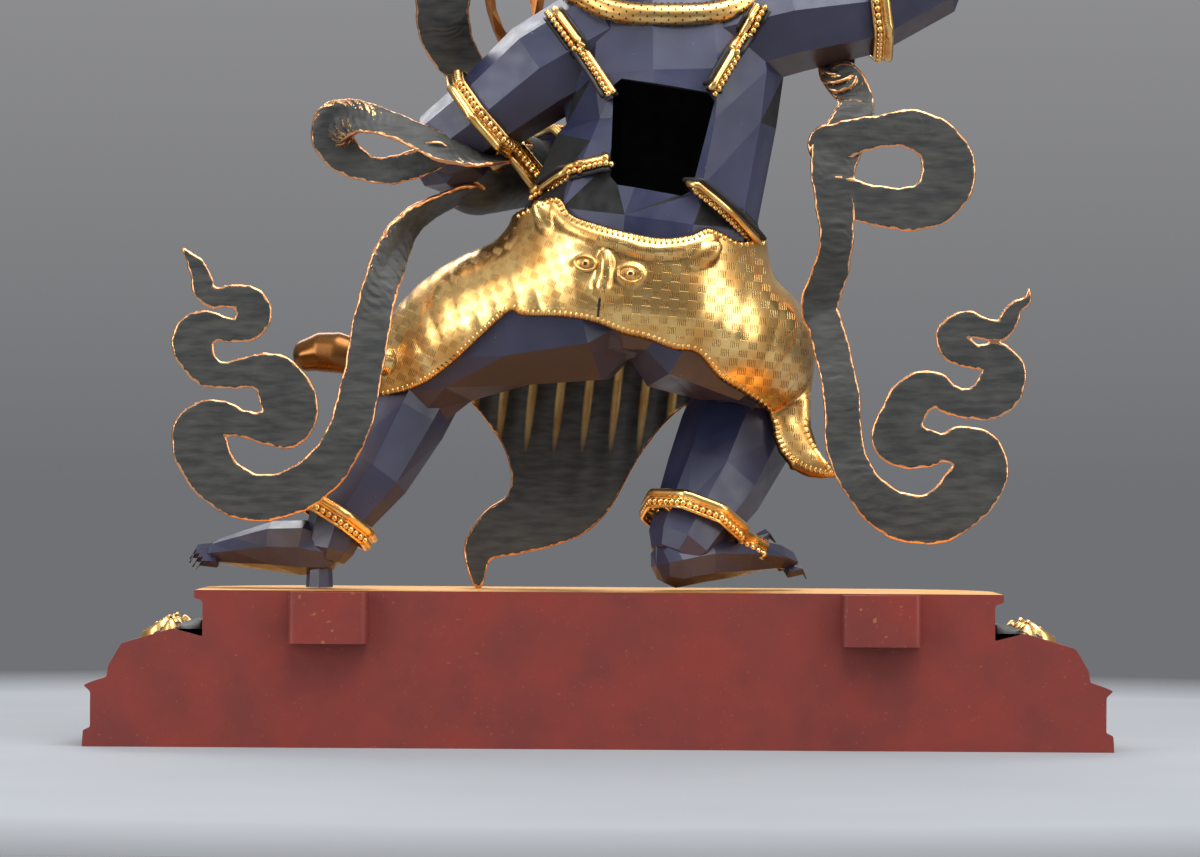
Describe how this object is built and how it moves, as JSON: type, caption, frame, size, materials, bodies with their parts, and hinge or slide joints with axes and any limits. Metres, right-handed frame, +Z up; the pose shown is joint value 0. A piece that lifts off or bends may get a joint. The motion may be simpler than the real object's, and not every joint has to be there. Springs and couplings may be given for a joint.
{
  "type": "guardian figure statue on pedestal",
  "caption": "Wrathful guardian figure in hollow painted and gilded copper, one arm raised, legs apart, with a flowing scarf, on a lotus pedestal with a flat back.",
  "frame": {"origin": "middle of the pedestal's underside", "axes": "+Z up, the figure faces -Y, and its left side is +X"},
  "size_m": [0.4008, 0.1575, 0.4263],
  "materials": {
    "blue_paint": "satin dark blue paint with a warm brown undertone",
    "gilt": "bright gilding, engraved, darker in the recesses",
    "black_paint": "brushed dark grey paint on copper, with bare edges",
    "brick_paint": "satin brick red paint, worn to gold at the edges",
    "hair_paint": "satin orange red paint",
    "rope_gilt": "reddish gilding",
    "ivory_paint": "satin ivory paint on the claws",
    "turquoise": "polished inlaid stone"
  },
  "bodies": {
    "root": {"figure": "blue_paint", "tiger_skin": "gilt", "apron": "black_paint", "scarf_left": "black_paint", "scarf_right": "black_paint", "scarf_arch": "black_paint", "hair": "hair_paint", "crown": "gilt", "vajra": "gilt", "noose": "rope_gilt", "pedestal": "brick_paint", "back_plate": "brick_paint", "petal_1": "gilt", "petal_2": "gilt", "petal_3": "gilt", "petal_4": "gilt", "petal_5": "gilt", "petal_6": "gilt", "petal_7": "gilt", "petal_8": "gilt", "petal_9": "gilt", "petal_10": "gilt", "petal_11": "gilt", "petal_12": "gilt", "petal_13": "gilt"}
  },
  "joints": []
}
